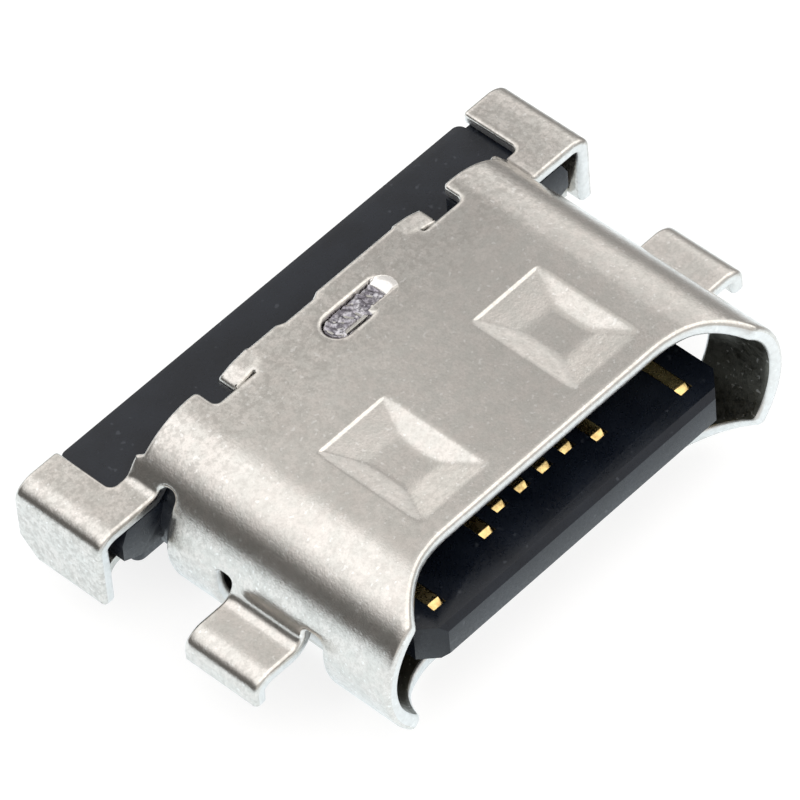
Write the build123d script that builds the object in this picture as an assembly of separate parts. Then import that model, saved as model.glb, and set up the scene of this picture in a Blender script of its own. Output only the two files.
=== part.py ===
from build123d import *
import os
from math import acos, degrees, hypot, sqrt

# Reversible charging port with sixteen contacts, sunk into a slot in its circuit board.
# A stamped steel shell with four bent legs goes round a moulded housing. The housing's tongue
# carries two rows of contacts, and a steel mid plate lies inside it.
# X runs along the mouth, the mouth looks towards -Y, and the shell's flat underside is at Z = 0.
# Heights in the sections below are counted from the tongue's middle plane.

# Contacts and tongue. Places are counted from the middle of the mouth
inner_place = 0.25
outer_place = 0.75
power_place = 1.25
ground_place = 2.75
contact_width = 0.25
contact_thick = 0.12
contact_tip_drop = 0.08
contact_tip_length = 0.20
ground_tip_back = 0.48
power_tip_back = 0.845
signal_tip_back = 1.045
tongue_edge = 0.47
tongue_thick = 0.70
tongue_back = 0.10
tongue_corner = 0.37
tongue_lead_in = 0.10
tongue_base_length = 0.42
tongue_base_thick = 1.50
tongue_base_margin = 0.25
latch_notch_front = 1.33
latch_notch_length = 0.95
latch_notch_depth = 0.20
latch_notch_height = 0.34

# Shell
sheet = 0.25
side_gap = 0.825
face_gap = 0.93
shell_length = 5.42
top_lip_back = 0.68
bottom_lip_back = 0.92
lip_flat_half = 2.30
wing_start = 3.84
wing_corner = 0.18
dimple_offset = 1.693
dimple_width = 1.45
dimple_length = 2.10
dimple_middle_back = 2.13
dimple_floor_width = 0.63
dimple_floor_length = 0.70
dimple_depth = 0.15
dimple_bump = 0.08
notch_inner = 1.87
notch_outer = 2.72
notch_length = 0.42
notch_corner = 0.10
tab_width = 0.37
tab_drop = 0.10
tab_slit = 0.05
tab_overhang = 0.03
rear_step_left = -1.00
rear_step_right = -0.10
rear_step_depth = 0.07
rear_step_slope = 0.15
weld_middle = 0.10
weld_length = 1.46
weld_width = 0.49
weld_from_rear = 0.735
lower_weld_offset = 1.15
lower_weld_length = 0.95
seam_gap = 0.04
seam_key_depth = 0.36
seam_key_flare = 0.09
seam_key_front = 1.78
seam_key_length = 1.10
bottom_short = 0.30

# Front legs, bent out of the side walls
leg_reach = 1.05
leg_bend = 0.24
leg_edge_bend = 0.10
front_tip_below = 0.55
front_leg_back = 1.735
front_leg_width = 1.495
window_front_back = 1.36
window_length = 2.21
window_top = 0.32
window_bottom = -1.15
window_corner = 0.15

# Rear ears
ear_top = 0.79
ear_crease = 0.15
ear_front_from_rear = 0.52
ear_root_past_rear = 0.12
ear_length = 1.80
ear_corner = 0.12
ear_chamfer = 0.36
ear_tip_below = 0.66
ear_block_gap = 0.05
wall_short = 0.84
relief_top = 0.96
relief_corner = 0.14

# Housing, terminal blocks and mid plate
fit_gap = 0.02
plug_length = 1.05
plug_from_rear = 0.07
block_depth = 1.33
block_beside_shell = 0.04
block_corner = 0.15
block_bottom = -0.78
pocket_wall = 0.275
pocket_roof = 0.15
pocket_front_past_plug = 0.35
parting_height = -0.20
tab_pocket_depth = 0.45
arm_gap = 0.02
arm_to_leg = 0.26
arm_chamfer = 0.13
arm_chamfer_height = 0.25
arm_low_inset = 0.34
arm_low_rise = 0.16
plate_thick = 0.15
plate_front_back = 0.63
plate_inset = 0.12
plate_bar_width = 0.28
plate_arm_gap = 0.06
plate_drop = 0.28
plate_slope = 0.30
plate_slope_bend = 0.08
plate_leg_bend = 0.28
plate_leg_front = 0.30
plate_leg_length = 1.35

# Ground collars
collar_thick = 0.15
collar_half = 2.45
collar_shelf = 0.50
collar_flange = 0.72
weld_pad_gap = 0.06
weld_pad_below = 0.07
weld_pad_short = 0.36

# Tails on the board: eight signal tails in the middle, and two pairs on each side
board_top = -0.27
tail_width = 0.20
tail_spacing = 0.50
pair_spacing = 0.30
power_pair_place = 2.40
ground_pair_place = 3.20
tail_overhang = 0.25
jog_start_from_rear = 0.30
jog_length = 0.80
riser_gap = 0.12

# Contacts from the outside in: place on the tongue, upper and lower row's tails, and tip
contact_plan = [
    (
        ground_place,
        ground_pair_place + pair_spacing / 2,
        ground_pair_place - pair_spacing / 2,
        ground_tip_back,
    ),
    (
        power_place,
        power_pair_place + pair_spacing / 2,
        power_pair_place - pair_spacing / 2,
        power_tip_back,
    ),
    (outer_place, tail_spacing * 5 / 2, tail_spacing * 7 / 2, signal_tip_back),
    (inner_place, tail_spacing / 2, tail_spacing * 3 / 2, signal_tip_back),
]

# Sizes worked out from the values above
tongue_half = ground_place + contact_width / 2 + tongue_edge
mouth_half = tongue_half + side_gap
inner_radius = tongue_thick / 2 + face_gap
outer_radius = inner_radius + sheet
mid_radius = inner_radius + sheet / 2
end_centre = mouth_half - inner_radius
shell_half = mouth_half + sheet
leg_face = shell_half + leg_reach
mid_height = outer_radius
front = -(shell_length + block_depth + tail_overhang) / 2
shell_rear = front + shell_length
block_rear = shell_rear + block_depth
tail_end = block_rear + tail_overhang
plug_rear = shell_rear - plug_from_rear
plug_front = plug_rear - plug_length
block_half = shell_half + block_beside_shell
block_top = ear_top - sheet
pocket_half = ground_pair_place + pair_spacing / 2 + tail_width / 2 + pocket_wall
beyond = 2.0


def box(x0, x1, y0, y1, z0, z1):
    middle = Pos((x0 + x1) / 2, (y0 + y1) / 2, mid_height + (z0 + z1) / 2)
    return middle * Box(x1 - x0, y1 - y0, z1 - z0)


def along_y(profile, y0, y1):
    """Extrude a profile drawn in X and Z from y0 to y1."""
    plane = Plane(origin=(0, y1, mid_height), x_dir=(1, 0, 0), z_dir=(0, -1, 0))
    return extrude(plane * profile, amount=y1 - y0)


def across_x(profile, x0, x1):
    """Extrude a profile drawn in Y and Z from x0 to x1."""
    plane = Plane(origin=(x0, 0, mid_height), x_dir=(0, 1, 0), z_dir=(1, 0, 0))
    return extrude(plane * profile, amount=x1 - x0)


def up_z(profile, z0, z1):
    """Extrude a plan drawn in X and Y from z0 to z1."""
    return extrude(Pos(0, 0, mid_height + z0) * profile, amount=z1 - z0)


def polygon(points):
    return make_face(Polyline(*points, close=True))


def rounded(x0, x1, y0, y1, radius):
    return Pos((x0 + x1) / 2, (y0 + y1) / 2) * RectangleRounded(x1 - x0, y1 - y0, radius)


def both_sides(shape):
    return shape + mirror(shape, about=Plane.YZ)


def stadium(half_width, radius):
    return SlotOverall(2 * half_width, 2 * radius)


def lip_cut(lip_back, z0, z1):
    """Cut that sets the lip back between the two side wings."""
    lip = front + lip_back
    flat = Line((0, lip), (lip_flat_half, lip))
    arc = TangentArc((lip_flat_half, lip), (wing_start, front), tangent=(1, 0))
    corners = [(wing_start, front), (shell_half + beyond, front)]
    corners += [(shell_half + beyond, front - beyond), (0, front - beyond), (0, lip)]
    plan = make_face(Curve() + [flat, arc, Polyline(*corners)])
    tip = plan.vertices().sort_by_distance((wing_start, front, 0))[0]
    return both_sides(up_z(fillet(tip, wing_corner), z0, z1))


def dimple(depth, grow, top):
    """Four-sided pyramid with a flat floor, pressed down from the height top."""
    middle = front + dimple_middle_back
    wide = Rectangle(dimple_width + grow, dimple_length + grow)
    floor = Rectangle(dimple_floor_width + grow, dimple_floor_length + grow)
    top_plane = Pos(dimple_offset, middle, mid_height + top)
    floor_plane = Pos(dimple_offset, middle, mid_height + top - depth)
    return both_sides(loft([top_plane * wide, floor_plane * floor]))


def bent_leg():
    """Front leg: out of the wall, level, and down beside the board slot."""
    wall = shell_half - sheet / 2
    bend_centre = wall + leg_bend + sheet / 2
    level = leg_bend - (leg_bend + sheet / 2)
    path = FilletPolyline(
        (wall, window_top + sheet),
        (wall, level),
        (leg_face - sheet / 2, level),
        (leg_face - sheet / 2, -front_tip_below),
        radius=[bend_centre - wall, leg_edge_bend + sheet / 2],
    )
    leg_front = front + front_leg_back
    return along_y(trace(path, sheet), leg_front, leg_front + front_leg_width)


def ear():
    """Rear ear: leaves the end rounding, runs level over the block's arm and turns down."""
    level = ear_top - sheet / 2
    crease_radius = ear_crease + sheet / 2
    crease_height = ear_top + ear_crease
    crease_reach = sqrt((outer_radius + ear_crease)**2 - crease_height**2)
    crease_x = end_centre + crease_reach
    leave = degrees(acos(crease_reach / hypot(crease_reach, crease_height)))
    ring = CenterArc((end_centre, 0), mid_radius, leave + 14, -14)
    crease = CenterArc((crease_x, crease_height), crease_radius, 180 + leave, 90 - leave)
    plate = FilletPolyline(
        (crease_x, level),
        (leg_face - sheet / 2, level),
        (leg_face - sheet / 2, -ear_tip_below),
        radius=leg_edge_bend + sheet / 2,
    )
    y0 = shell_rear - ear_front_from_rear
    y1 = y0 + ear_length
    root_rear = shell_rear + ear_root_past_rear
    inner = block_half + ear_block_gap
    solid = Part()
    for piece in (ring, crease, plate):
        solid += along_y(trace(piece, sheet), y0, y1)
    gap = up_z(rounded(-inner, inner, root_rear, y1 + beyond, ear_corner), -beyond, beyond)
    corner = polygon([
        (y1 - ear_chamfer, -ear_tip_below),
        (y1, -ear_tip_below + ear_chamfer),
        (y1 + beyond, -ear_tip_below - beyond),
    ])
    return solid - gap - across_x(corner, 0, leg_face + beyond)


def weld_slot(middle, length, z0, z1, shrink=0.0):
    y = shell_rear - weld_from_rear
    plan = Pos(middle, y) * SlotOverall(length - 2 * shrink, weld_width - 2 * shrink)
    return up_z(plan, z0, z1)


def make_shell():
    shell = along_y(stadium(shell_half, outer_radius), front, shell_rear)
    shell -= along_y(stadium(mouth_half, inner_radius), front, shell_rear)
    shell -= lip_cut(top_lip_back, 0, beyond)
    shell -= lip_cut(bottom_lip_back, -beyond, 0)

    top, under = outer_radius, inner_radius
    for turn in (Rot(0, 0, 0), Pos(0, 0, 2 * mid_height) * Rot(0, 180, 0)):
        shell += turn * dimple(dimple_bump, 0, under)
        shell -= turn * dimple(dimple_depth, 0, top)

    # Side windows that the front legs were bent from, and the legs
    y0 = front + window_front_back
    window = rounded(y0, y0 + window_length, window_bottom, window_top, window_corner)
    shell -= both_sides(across_x(window, end_centre, shell_half + beyond))
    shell += both_sides(bent_leg())

    # The side walls end short of the ears
    wall_rear = shell_rear - wall_short
    ear_front = shell_rear - ear_front_from_rear
    side = box(end_centre, shell_half + beyond, wall_rear, shell_rear, -outer_radius, ear_top - sheet)
    relief = rounded(wall_rear, ear_front, -relief_top, relief_top, relief_corner)
    shell -= both_sides(side + across_x(relief, end_centre, shell_half + beyond))
    shell -= box(-shell_half, shell_half, shell_rear - bottom_short, shell_rear, -top, 0)
    shell += both_sides(ear())

    # Rear edge: two notches with a lock tab each, and a shallow step
    notch_front = shell_rear - notch_length
    notch = rounded(notch_inner, notch_outer, notch_front, shell_rear + beyond, notch_corner)
    shell -= both_sides(up_z(notch, 0, top))
    tab = polygon([
        (notch_inner - tab_slit, top),
        (notch_inner + tab_width, top - tab_drop),
        (notch_inner + tab_width, under - tab_drop),
        (notch_inner - tab_slit, under),
    ])
    shell += both_sides(along_y(tab, notch_front + tab_slit, shell_rear + tab_overhang))
    step = polygon([
        (rear_step_left, shell_rear),
        (rear_step_left + rear_step_slope, shell_rear - rear_step_depth),
        (rear_step_right - rear_step_slope, shell_rear - rear_step_depth),
        (rear_step_right, shell_rear),
    ])
    shell -= up_z(step, 0, top)

    # Weld slots, and the seam underneath with its dovetail key
    shell -= weld_slot(weld_middle, weld_length, 0, top)
    shell -= both_sides(weld_slot(lower_weld_offset, lower_weld_length, -top, 0))
    key_front = front + seam_key_front
    key_rear = key_front + seam_key_length
    seam = Polyline(
        (0, front),
        (0, key_front),
        (seam_key_depth, key_front - seam_key_flare),
        (seam_key_depth, key_rear + seam_key_flare),
        (0, key_rear),
        (0, shell_rear),
    )
    return shell - up_z(trace(seam, seam_gap), -top, 0)


def make_contact(place, tail, tip_back, upper, side):
    """One contact: its side view, cut to its plan, which jogs over to the tail."""
    half = tongue_thick / 2
    y_tip = front + tip_back
    riser = shell_rear - jog_start_from_rear + jog_length + riser_gap
    face, back = (half, half - contact_thick) if upper else (-half, contact_thick - half)
    tip_face = face - contact_tip_drop if upper else face + contact_tip_drop
    tail_top = board_top + contact_thick
    near, far = (tail_top, board_top) if upper else (board_top, tail_top)
    profile = polygon([
        (y_tip, tip_face),
        (y_tip + contact_tip_length, face),
        (riser, face),
        (riser, near),
        (tail_end, near),
        (tail_end, far),
        (riser - contact_thick, far),
        (riser - contact_thick, back),
        (y_tip, back),
    ])
    x0, x1 = side * place, side * tail
    w0, w1 = contact_width / 2, tail_width / 2
    jog = shell_rear - jog_start_from_rear
    plan = polygon([
        (x0 - w0, y_tip),
        (x0 - w0, jog),
        (x1 - w1, jog + jog_length),
        (x1 - w1, tail_end),
        (x1 + w1, tail_end),
        (x1 + w1, jog + jog_length),
        (x0 + w0, jog),
        (x0 + w0, y_tip),
    ])
    return across_x(profile, -shell_half, shell_half) & up_z(plan, -outer_radius, outer_radius)


def make_contacts():
    contacts = {}
    sides = [(-1, entry) for entry in contact_plan] + [(1, entry) for entry in contact_plan[::-1]]
    for number, (side, entry) in enumerate(sides, start=1):
        place, upper_tail, lower_tail, tip_back = entry
        upper = make_contact(place, upper_tail, tip_back, True, side)
        lower = make_contact(place, lower_tail, tip_back, False, side)
        contacts[f"upper_contact_{number}"] = upper
        contacts[f"lower_contact_{number}"] = lower
    return contacts


def make_mid_plate():
    """Steel plate inside the tongue, with two side legs that nest inside the ears."""
    half = plate_thick / 2
    arm_in = pocket_half + plate_arm_gap
    arm_out = shell_half - sheet - plate_inset
    bar_rear = plug_front + plate_bar_width
    leg_front = shell_rear - ear_front_from_rear + plate_leg_front
    leg_rear = leg_front + plate_leg_length
    tongue_side = tongue_half - plate_inset
    notch_front = front + latch_notch_front
    notch_rear = notch_front + latch_notch_length
    notch_side = tongue_half - latch_notch_depth
    plan = polygon([
        (0, front + plate_front_back),
        (tongue_side, front + plate_front_back),
        (tongue_side, notch_front - plate_inset),
        (tongue_half, notch_front - plate_inset),
        (tongue_half, notch_front),
        (notch_side, notch_front),
        (notch_side, notch_rear),
        (tongue_half, notch_rear),
        (tongue_half, notch_rear + plate_inset),
        (tongue_side, notch_rear + plate_inset),
        (tongue_side, plug_front + plate_arm_gap),
        (arm_out, plug_front + plate_arm_gap),
        (arm_out, leg_rear),
        (arm_in, leg_rear),
        (arm_in, bar_rear),
        (0, bar_rear),
    ])
    outer = leg_face - sheet - arm_gap - half
    path = FilletPolyline(
        (arm_in, 0),
        (arm_out, 0),
        (arm_out + plate_slope, -plate_drop),
        (outer, -plate_drop),
        (outer, -ear_tip_below),
        radius=[plate_slope_bend + half, plate_slope_bend + half, plate_leg_bend + half],
    )
    leg = along_y(trace(path, plate_thick), leg_front, leg_rear)
    return both_sides(up_z(plan, -half, half) + leg)


def make_collar(welds):
    """Upper ground collar: shelf on the tongue's base, riser, and flange under the shell."""
    shelf_bottom = tongue_base_thick / 2
    rise = plug_front - collar_thick
    profile = polygon([
        (rise - collar_shelf, shelf_bottom),
        (plug_front, shelf_bottom),
        (plug_front, inner_radius - collar_thick),
        (plug_front + collar_flange, inner_radius - collar_thick),
        (plug_front + collar_flange, inner_radius),
        (rise, inner_radius),
        (rise, shelf_bottom + collar_thick),
        (rise - collar_shelf, shelf_bottom + collar_thick),
    ])
    collar = across_x(profile, -collar_half, collar_half)
    pad_top = outer_radius - weld_pad_below
    for middle, length in welds:
        middle -= weld_pad_short / 2
        length -= weld_pad_short
        collar += weld_slot(middle, length, inner_radius, pad_top, weld_pad_gap)
    return collar


def pocket_box(z0, z1):
    """Room for a terminal block behind the plug, open to the rear."""
    y0 = plug_front + pocket_front_past_plug
    return box(-pocket_half, pocket_half, y0, block_rear, z0, z1)


def make_housing(insides):
    """Moulded body: tongue, plug that fills the shell, and the block behind it."""
    half = tongue_thick / 2
    face = front + tongue_back
    plan = polygon([
        (-tongue_half + tongue_corner, face),
        (tongue_half - tongue_corner, face),
        (tongue_half, face + tongue_corner),
        (tongue_half, plug_front),
        (-tongue_half, plug_front),
        (-tongue_half, face + tongue_corner),
    ])
    profile = polygon([
        (face, -half + tongue_lead_in),
        (face, half - tongue_lead_in),
        (face + tongue_lead_in, half),
        (plug_front, half),
        (plug_front, -half),
        (face + tongue_lead_in, -half),
    ])
    tongue = up_z(plan, -half, half) & across_x(profile, -tongue_half, tongue_half)
    base_half = tongue_half + tongue_base_margin
    base_height = tongue_base_thick / 2
    base_front = plug_front - tongue_base_length
    tongue += box(-base_half, base_half, base_front, plug_front, -base_height, base_height)

    plug = along_y(stadium(mouth_half - fit_gap, inner_radius - fit_gap), plug_front, plug_rear)
    block_plan = rounded(-block_half, block_half, plug_rear - block_corner, block_rear, block_corner)
    block = up_z(block_plan, block_bottom, block_top)
    arm_half = leg_face - sheet - arm_to_leg
    arm_bottom = plate_thick / 2 - plate_drop
    arm = polygon([
        (0, block_top),
        (arm_half - arm_chamfer, block_top),
        (arm_half, block_top - arm_chamfer_height),
        (arm_half, arm_bottom + arm_low_rise),
        (arm_half - arm_low_inset, arm_bottom),
        (0, arm_bottom),
    ])
    arm_front = shell_rear - ear_front_from_rear + arm_gap
    housing = tongue + plug + block + both_sides(along_y(arm, arm_front, block_rear - block_corner))

    # Pockets under the lock tabs, latch notches and pockets for what the moulding holds
    y0 = shell_rear - notch_length - tab_slit
    z0 = inner_radius - tab_pocket_depth
    tab_pocket = box(notch_inner - tab_slit, notch_outer, y0, plug_rear, z0, inner_radius)
    y0 = front + latch_notch_front
    y1 = y0 + latch_notch_length
    notch_half = latch_notch_height / 2
    notch_in = tongue_half - latch_notch_depth
    latch = box(notch_in, tongue_half, y0, y1, -notch_half, notch_half)
    housing -= both_sides(tab_pocket) + both_sides(latch)
    housing -= pocket_box(block_bottom, block_top - pocket_roof)
    for inside in insides:
        housing -= inside

    # The plastic is open over the sloped tip of every contact
    side = contact_width / 2
    tip_height = half - contact_tip_drop
    for place, _, _, tip_back in contact_plan:
        y0 = front + tip_back
        y1 = y0 + contact_tip_length
        for z0, z1 in ((tip_height, half), (-half, -tip_height)):
            housing -= both_sides(box(place - side, place + side, y0, y1, z0, z1))
    return housing


def main():
    os.makedirs("parts", exist_ok=True)
    shell = make_shell()
    contacts = make_contacts()
    mid_plate = make_mid_plate()
    lower_welds = [(-lower_weld_offset, lower_weld_length), (lower_weld_offset, lower_weld_length)]
    turn_over = Pos(0, 0, 2 * mid_height) * Rot(0, 180, 0)
    upper_collar = make_collar([(weld_middle, weld_length)])
    lower_collar = turn_over * make_collar(lower_welds)
    upper_block = pocket_box(parting_height, block_top - pocket_roof)
    lower_block = pocket_box(block_bottom, parting_height)
    for contact in contacts.values():
        upper_block -= contact
        lower_block -= contact
    insides = [mid_plate, upper_collar, lower_collar, *contacts.values()]
    pieces = {
        "shell": shell,
        "housing": make_housing(insides),
        "upper_terminal_block": upper_block,
        "lower_terminal_block": lower_block,
        "mid_plate": mid_plate,
        "upper_ground_collar": upper_collar,
        "lower_ground_collar": lower_collar,
        **contacts,
    }
    for name, piece in pieces.items():
        export_step(piece, f"parts/{name}.step")


main()
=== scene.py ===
import bmesh
import bpy
import numpy as np
from math import acos, asin, atan2, ceil, cos, hypot, pi, radians, sin, sqrt, tan
from mathutils import Matrix, Vector, noise
from mathutils.geometry import delaunay_2d_cdt
from mathutils.kdtree import KDTree


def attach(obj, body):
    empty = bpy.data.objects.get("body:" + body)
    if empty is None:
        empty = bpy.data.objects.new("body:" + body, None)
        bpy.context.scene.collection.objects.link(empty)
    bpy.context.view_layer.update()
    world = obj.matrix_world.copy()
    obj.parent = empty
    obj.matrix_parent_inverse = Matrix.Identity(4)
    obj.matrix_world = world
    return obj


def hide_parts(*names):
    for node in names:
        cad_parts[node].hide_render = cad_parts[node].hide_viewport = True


# Reversible charging port, loose on a white table, seen from the front left and above.
# Lengths in the dictionaries are millimetres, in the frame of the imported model.
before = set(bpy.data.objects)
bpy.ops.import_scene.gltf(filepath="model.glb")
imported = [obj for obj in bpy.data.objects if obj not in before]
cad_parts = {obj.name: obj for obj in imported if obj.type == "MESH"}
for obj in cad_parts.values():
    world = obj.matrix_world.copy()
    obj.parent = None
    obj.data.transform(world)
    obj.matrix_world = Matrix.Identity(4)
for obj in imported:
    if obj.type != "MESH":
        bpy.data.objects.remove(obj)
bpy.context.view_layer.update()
mm = 0.001
middle = 1.53
print("frame loaded")


def addObject(name, data):
    made = bpy.data.objects.new(name, data)
    bpy.context.scene.collection.objects.link(made)
    return made


photoView = {
    "turn": -43.078,
    "height": 49.027,
    "roll": -5.167,
    "distance": 120.0,
    "pixelsPerMm": 65.9,
    "target": (0.0, -0.20, middle),
    "targetPixel": (427.997, 420.204),
    "frameSize": 800,
}


def addCamera(view):
    turn, height, roll = (radians(view[key]) for key in ("turn", "height", "roll"))
    back = Vector((sin(turn) * cos(height), -cos(turn) * cos(height), sin(height)))
    right = Vector((cos(turn), sin(turn), 0))
    up = back.cross(right)
    rolledRight = cos(roll) * right + sin(roll) * up
    rolledUp = cos(roll) * up - sin(roll) * right
    half = view["frameSize"] / 2
    offX, offY = ((pixel - half) / view["pixelsPerMm"] for pixel in view["targetPixel"])
    eye = Vector(view["target"]) + back * view["distance"] - rolledRight * offX + rolledUp * offY
    data = bpy.data.cameras.new("photoCamera")
    data.lens = data.sensor_width * view["pixelsPerMm"] * view["distance"] / view["frameSize"]
    data.clip_start = 0.001
    camera = addObject("photoCamera", data)
    place = Matrix((rolledRight, rolledUp, back)).transposed().to_4x4()
    place.translation = eye * mm
    camera.matrix_world = place
    bpy.context.scene.camera = camera


addCamera(photoView)


# Shader maths reads as plain sums: a Value is one socket, a Shader is one material's or world's tree
class Value:
    def __init__(self, shader, socket):
        self.shader = shader
        self.socket = socket

    def math(self, operation, other):
        return self.shader.math(operation, self, other)

    def __add__(self, other):
        return self.math("ADD", other)

    def __rsub__(self, other):
        return self.shader.math("SUBTRACT", other, self)

    def __mul__(self, other):
        return self.math("MULTIPLY", other)

    def span(self, low, high, outLow=0.0, outHigh=1.0):
        return self.shader.node("ShaderNodeMapRange", {"interpolation_type": "SMOOTHSTEP"}, {
            "Value": self, "From Min": low, "From Max": high, "To Min": outLow, "To Max": outHigh,
        })


class Shader:
    def __init__(self, tree):
        self.tree = tree

    def put(self, socket, value):
        if isinstance(value, Value):
            self.tree.links.new(value.socket, socket)
        elif isinstance(value, tuple) and len(value) == 3 and socket.type == "RGBA":
            socket.default_value = (*value, 1.0)
        else:
            socket.default_value = value

    def node(self, kind, settings=None, inputs=None, output=0):
        made = self.tree.nodes.new(kind)
        for name, value in (settings or {}).items():
            setattr(made, name, value)
        for name, value in (inputs or {}).items():
            self.put(made.inputs[name], value)
        return Value(self, made.outputs[output])

    def math(self, operation, first, second):
        return self.node("ShaderNodeMath", {"operation": operation}, {0: first, 1: second})

    def mix(self, factor, first, second):
        return self.node("ShaderNodeMix", {"data_type": "RGBA"}, {0: factor, 6: first, 7: second}, 2)

    def place(self):
        return self.node("ShaderNodeTexCoord", output=3)

    def split(self, vector):
        parts = self.tree.nodes.new("ShaderNodeSeparateXYZ")
        self.put(parts.inputs[0], vector)
        return [Value(self, parts.outputs[k]) for k in range(3)]

    def grain(self, perMm, detail=2.0, rough=0.5, stretch=(1, 1, 1)):
        sizes = tuple(1000.0 * perMm * part for part in stretch)
        place = self.node("ShaderNodeMapping", None, {"Vector": self.place(), "Scale": sizes})
        return self.node("ShaderNodeTexNoise", None, {
            "Vector": place, "Scale": 1.0, "Detail": detail, "Roughness": rough,
        })

    def bump(self, height, distance, strength):
        return self.node("ShaderNodeBump", None, {
            "Height": height, "Distance": distance * mm, "Strength": strength,
        })

    def finish(self, kind, value):
        # ends a bare tree with its output node
        self.put(self.tree.nodes.new(kind).inputs["Surface"], value)


def startMaterial(name):
    material = bpy.data.materials.new(name)
    material.use_nodes = True
    tree = material.node_tree
    return material, Shader(tree), tree.nodes["Principled BSDF"]


def dress(shader, surface, values):
    for name, value in values.items():
        shader.put(surface.inputs[name], value)


# Most of a noise's values lie in this span
noiseSpan = (0.3, 0.7)


def nickelFinish(name, look):
    material, shader, surface = startMaterial(name)
    sand = shader.grain(look["sandPerMm"], rough=0.7)
    grit = shader.grain(look["gritPerMm"], rough=0.6)
    streak = shader.grain(look["streakPerMm"], stretch=look["streakStretch"])
    cloud = shader.grain(look["cloudPerMm"], detail=3.0, rough=0.6)
    blotch = shader.grain(look["blotchPerMm"], detail=3.0, rough=0.65)
    fleck = shader.grain(look["fleckPerMm"], detail=1.0, rough=0.4)
    rearward = shader.split(shader.place())[1].span(*look["rearSpan"])
    gritShare = rearward * look["rearGrit"] + look["gritShare"]
    speckShare = rearward * look["rearSpeck"] + look["speckShare"]
    color = shader.mix(cloud.span(*look["cloudSpan"]), look["pale"], look["warm"])
    color = shader.mix(blotch.span(*look["blotchSpan"]) * look["blotchShare"], color, look["blotch"])
    color = shader.mix(grit.span(*look["gritSpan"]) * gritShare, color, look["speck"])
    color = shader.mix(sand.span(*look["sandSpan"]) * speckShare, color, look["speck"])
    color = shader.mix(fleck.span(*look["fleckSpan"]) * look["fleckShare"], color, look["fleck"])
    height = sand * look["sandHeight"] + grit * look["gritHeight"] + streak * look["streakHeight"]
    dress(shader, surface, {
        "Base Color": color,
        "Metallic": 1.0,
        "Roughness": grit.span(*noiseSpan, look["smooth"], look["rough"]),
        "Normal": shader.bump(height + cloud * look["cloudHeight"], look["bumpMm"], look["bumpStrength"]),
    })
    return material


# A span is where in its noise a pattern starts and is full. rearSpan is in metres of Y
nickelLook = {
    "pale": (0.77, 0.735, 0.695),
    "warm": (0.73, 0.69, 0.65),
    "cloudSpan": (0.35, 0.65),
    "blotch": (0.60, 0.61, 0.575),
    "blotchSpan": (0.38, 0.62),
    "blotchShare": 0.40,
    "blotchPerMm": 3.6,
    "rearSpan": (0.0, 0.0012),
    "rearGrit": 0.36,
    "rearSpeck": 0.15,
    "speck": (0.47, 0.45, 0.42),
    "speckShare": 0.25,
    "sandSpan": (0.40, 0.70),
    "gritShare": 0.28,
    "gritSpan": (0.42, 0.66),
    "fleck": (0.95, 0.94, 0.92),
    "fleckSpan": (0.66, 0.74),
    "fleckShare": 0.45,
    "fleckPerMm": 13.0,
    "sandPerMm": 24.0,
    "gritPerMm": 10.0,
    "streakStretch": (0.25, 1.0, 1.0),
    "streakPerMm": 9.0,
    "cloudPerMm": 1.3,
    "sandHeight": 0.8,
    "gritHeight": 0.5,
    "streakHeight": 0.3,
    "cloudHeight": 0.10,
    "bumpMm": 0.005,
    "bumpStrength": 0.5,
    "smooth": 0.17,
    "rough": 0.24,
}
edgeLook = dict(
    nickelLook, pale=(0.80, 0.80, 0.79), warm=(0.77, 0.76, 0.74), speckShare=0.12, gritShare=0.12,
    blotchShare=0.08, rearGrit=0.0, rearSpeck=0.0, smooth=0.28, rough=0.38, sandPerMm=14.0,
)
# The tube's inner skin is the same nickel painted dark: painted shade of the dark inside
shadedInsideLook = dict(
    nickelLook, pale=(0.20, 0.20, 0.175), warm=(0.15, 0.15, 0.13), speck=(0.10, 0.10, 0.09),
    blotchShare=0.0, smooth=0.30, rough=0.45,
)
steelLook = dict(
    nickelLook, pale=(0.64, 0.63, 0.60), warm=(0.58, 0.57, 0.54), blotchShare=0.1, smooth=0.26, rough=0.36,
)
weldLook = dict(
    nickelLook, pale=(0.60, 0.59, 0.62), warm=(0.36, 0.34, 0.38), speck=(0.13, 0.12, 0.14),
    speckShare=0.6, gritShare=0.6, sandPerMm=14.0, gritPerMm=8.0, cloudPerMm=6.0,
    blotchShare=0.0, bumpMm=0.02, smooth=0.16, rough=0.36,
)
# The ramp is clean melted nickel with fewer specks, in a paler colour that is a painted highlight
rampHighlightLook = dict(
    nickelLook, pale=(0.90, 0.89, 0.87), warm=(0.86, 0.84, 0.82), speckShare=0.1, gritShare=0.1,
    blotchShare=0.0, rearGrit=0.0, rearSpeck=0.0,
)
nickel = nickelFinish("satinNickel", nickelLook)
nickelEdge = nickelFinish("shearedNickelEdge", edgeLook)
nickelInsideShade = nickelFinish("nickelInsidePaintedShade", shadedInsideLook)
plainSteel = nickelFinish("rolledSteel", steelLook)
weldMetal = nickelFinish("meltedWeld", weldLook)
weldRampHighlight = nickelFinish("smoothWeldEndHighlight", rampHighlightLook)


def resinFinish(name, look):
    material, shader, surface = startMaterial(name)
    fibre = shader.grain(look["fibrePerMm"], detail=3.0, rough=0.6)
    cloud = shader.grain(look["cloudPerMm"])
    speck = shader.grain(look["speckPerMm"], detail=1.0, rough=0.4).span(*look["speckSpan"])
    color = shader.mix(cloud.span(*noiseSpan), look["deep"], look["bloom"])
    dress(shader, surface, {
        "Base Color": shader.mix(speck * look["speckShare"], color, look["speck"]),
        "Roughness": fibre.span(*noiseSpan, look["smooth"], look["rough"]),
        "IOR": look["gloss"],
        "Normal": shader.bump(fibre, look["bumpMm"], look["bumpStrength"]),
    })
    return material


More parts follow.
